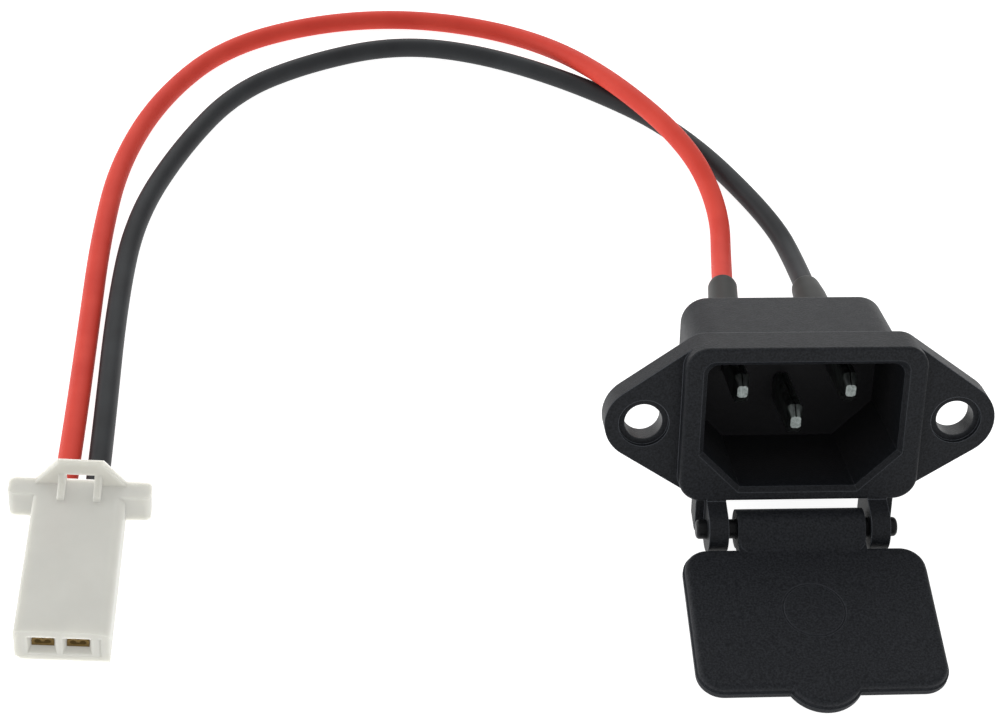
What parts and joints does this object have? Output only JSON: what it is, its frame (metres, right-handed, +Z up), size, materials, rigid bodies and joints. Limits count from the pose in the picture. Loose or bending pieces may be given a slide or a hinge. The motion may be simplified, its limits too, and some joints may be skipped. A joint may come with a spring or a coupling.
{
  "type": "charging port socket",
  "caption": "Panel socket with a diamond flange and a hinged dust cover, recessed contact blades, and wire leads that end in a nylon latch connector.",
  "frame": {"origin": "middle of the socket's own box at the level of the surface it lies on, leads and connector left out", "axes": "+X across the flange from the red lead's side to the black lead's side, +Y from the open cover towards the back of the socket, +Z up from the surface; the socket leans back on its hinge lugs and rear bottom edge, its panel normal 20.9 degrees from +Y"},
  "size_m": [0.1255, 0.1399, 0.0258],
  "materials": {
    "black_plastic": "fine matte moulded",
    "nickel_plate": "satin nickel plate",
    "black_steel": "black oxide",
    "red_jacket": "soft sheen",
    "black_jacket": "soft sheen",
    "shrink_sleeve": "matte",
    "copper": "bare strands",
    "solder": "bright, flowed",
    "brass": "dull rolled sheet",
    "natural_nylon": "milky, slightly clear"
  },
  "bodies": {
    "housing": {"socket_housing": "black_plastic", "line_pin": "nickel_plate", "neutral_pin": "nickel_plate", "earth_pin": "nickel_plate", "hinge_pin": "black_steel", "red_wire": "red_jacket", "black_wire": "black_jacket", "red_sleeve": "shrink_sleeve", "black_sleeve": "shrink_sleeve", "red_core_socket_end": "copper", "black_core_socket_end": "copper", "red_core_plug_end": "copper", "black_core_plug_end": "copper", "red_solder": "solder", "black_solder": "solder", "red_terminal": "brass", "black_terminal": "brass", "connector_housing": "natural_nylon"},
    "cover": {"dust_cover": "black_plastic"}
  },
  "joints": [
    {"name": "cover_hinge", "type": "hinge", "parent": "housing", "child": "cover", "pos_m": [0, -0.00173, 0.00295], "axis": [-1, 0, 0], "range_deg": [-66.07, 113.93]}
  ]
}
